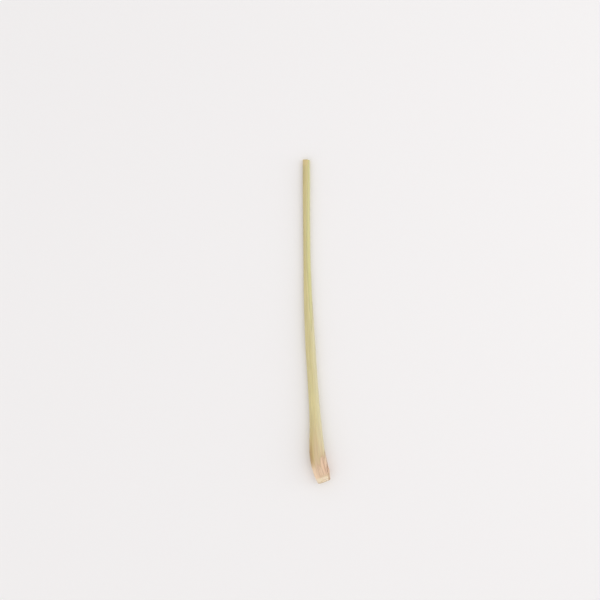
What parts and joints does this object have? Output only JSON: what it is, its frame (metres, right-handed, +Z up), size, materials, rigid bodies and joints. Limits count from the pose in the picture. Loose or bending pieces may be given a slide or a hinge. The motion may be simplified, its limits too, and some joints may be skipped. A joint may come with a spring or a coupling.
{
  "type": "lemongrass stalk",
  "caption": "Trimmed lemongrass stalk: leaf sheaths rolled round a woody culm stub, lying on its side.",
  "frame": {"origin": "on the surface the stalk lies on, below the middle of its bounding box", "axes": "+Y along the stalk from its root cut to its leaf cut, +Z up from the surface, +X to the side its root end hooks towards"},
  "size_m": [0.0277, 0.3238, 0.0159],
  "materials": {
    "culm": "matte",
    "dry_sheath": "matte",
    "outer_sheath": "satin",
    "inner_sheath": "satin",
    "heart": "satin"
  },
  "bodies": {
    "root": {"stem_base": "culm", "old_sheath": "dry_sheath", "outer_sheath": "outer_sheath", "second_sheath": "inner_sheath", "third_sheath": "inner_sheath", "heart": "heart"}
  },
  "joints": []
}
